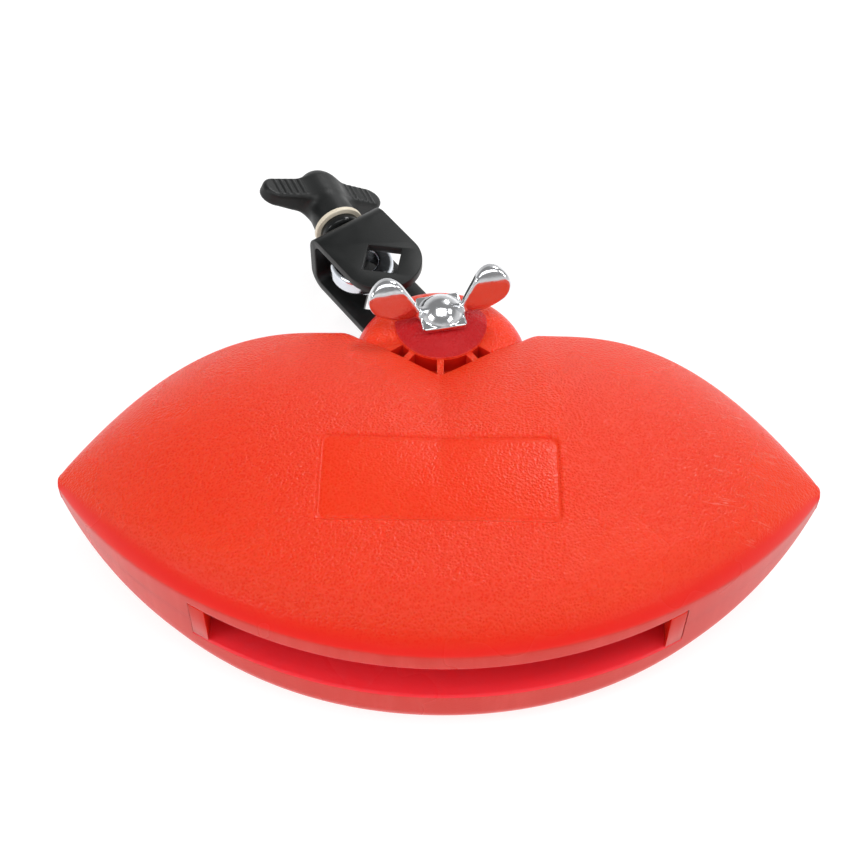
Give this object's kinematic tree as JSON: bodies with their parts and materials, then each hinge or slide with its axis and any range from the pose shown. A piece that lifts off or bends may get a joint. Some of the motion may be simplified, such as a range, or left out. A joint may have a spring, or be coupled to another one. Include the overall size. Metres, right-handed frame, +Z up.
{
  "type": "woodblock",
  "caption": "Hollow moulded percussion block shaped like a pair of lips, with a sounding slot in the front and a swivelling rod clamp at the back.",
  "frame": {"origin": "centre of the small flat sole under the block", "axes": "+X from tip to tip, +Y from the front lip to the clamp, +Z up through the top face"},
  "size_m": [0.2148, 0.1908, 0.0513],
  "materials": {
    "red_shell": "fine grained, semi-gloss",
    "red_frame": "smooth, semi-gloss",
    "chrome_head": "polished chrome",
    "bare_steel": "plain zinc plated",
    "black_steel": "semi-gloss black coating",
    "chrome_eye": "bright plated",
    "black_collar": "glossy",
    "ivory_washer": "smooth",
    "black_knob": "fine satin with grip ribs",
    "brass_insert": "plain"
  },
  "bodies": {
    "block": {"upper_shell": "red_shell", "lower_shell": "red_shell", "chamber_frame": "red_frame"},
    "wing_bolt": {"wing_head": "chrome_head", "wing_stud": "bare_steel"},
    "bracket": {"bracket": "black_steel"},
    "pivot_nut": {"pivot_nut": "bare_steel", "pivot_lock_washer": "bare_steel"},
    "collar": {"knob_collar": "black_collar", "knob_washer": "ivory_washer"},
    "knob": {"wing_knob": "black_knob", "knob_insert": "brass_insert"},
    "eyebolt": {"eyebolt": "chrome_eye"}
  },
  "joints": [
    {"name": "bracket_swivel", "type": "hinge", "parent": "block", "child": "bracket", "pos_m": [0, 0.0754, 0.02335], "axis": [0, 0, 1], "range_deg": [-90, 17]},
    {"name": "wing_bolt_turn", "type": "hinge", "parent": "block", "child": "wing_bolt", "pos_m": [0, 0.0754, 0.02335], "axis": [0, 0, 1], "range_deg": [0, 720]},
    {"name": "pivot_nut_travel", "type": "slide", "parent": "bracket", "child": "pivot_nut", "axis": [0, 0, -1], "range_m": [0, 0.00249]},
    {"name": "eyebolt_swing", "type": "hinge", "parent": "bracket", "child": "collar", "pos_m": [-0.03026, 0.11689, 0.02295], "axis": [0, 0, 1], "range_deg": [0, 24]},
    {"name": "knob_turn", "type": "hinge", "parent": "collar", "child": "knob", "pos_m": [-0.03026, 0.11689, 0.02295], "axis": [-0.4226, 0.9063, 0], "range_deg": [0, 2600]},
    {"name": "eyebolt_travel", "type": "slide", "parent": "collar", "child": "eyebolt", "axis": [0.4226, -0.9063, 0], "range_m": [0, 0.0089]}
  ],
  "couplings": [
    {"joint": "wing_bolt_turn", "follows": "pivot_nut_travel", "rad_per_m": 5026.5},
    {"joint": "knob_turn", "follows": "eyebolt_travel", "rad_per_m": 5026.5}
  ]
}
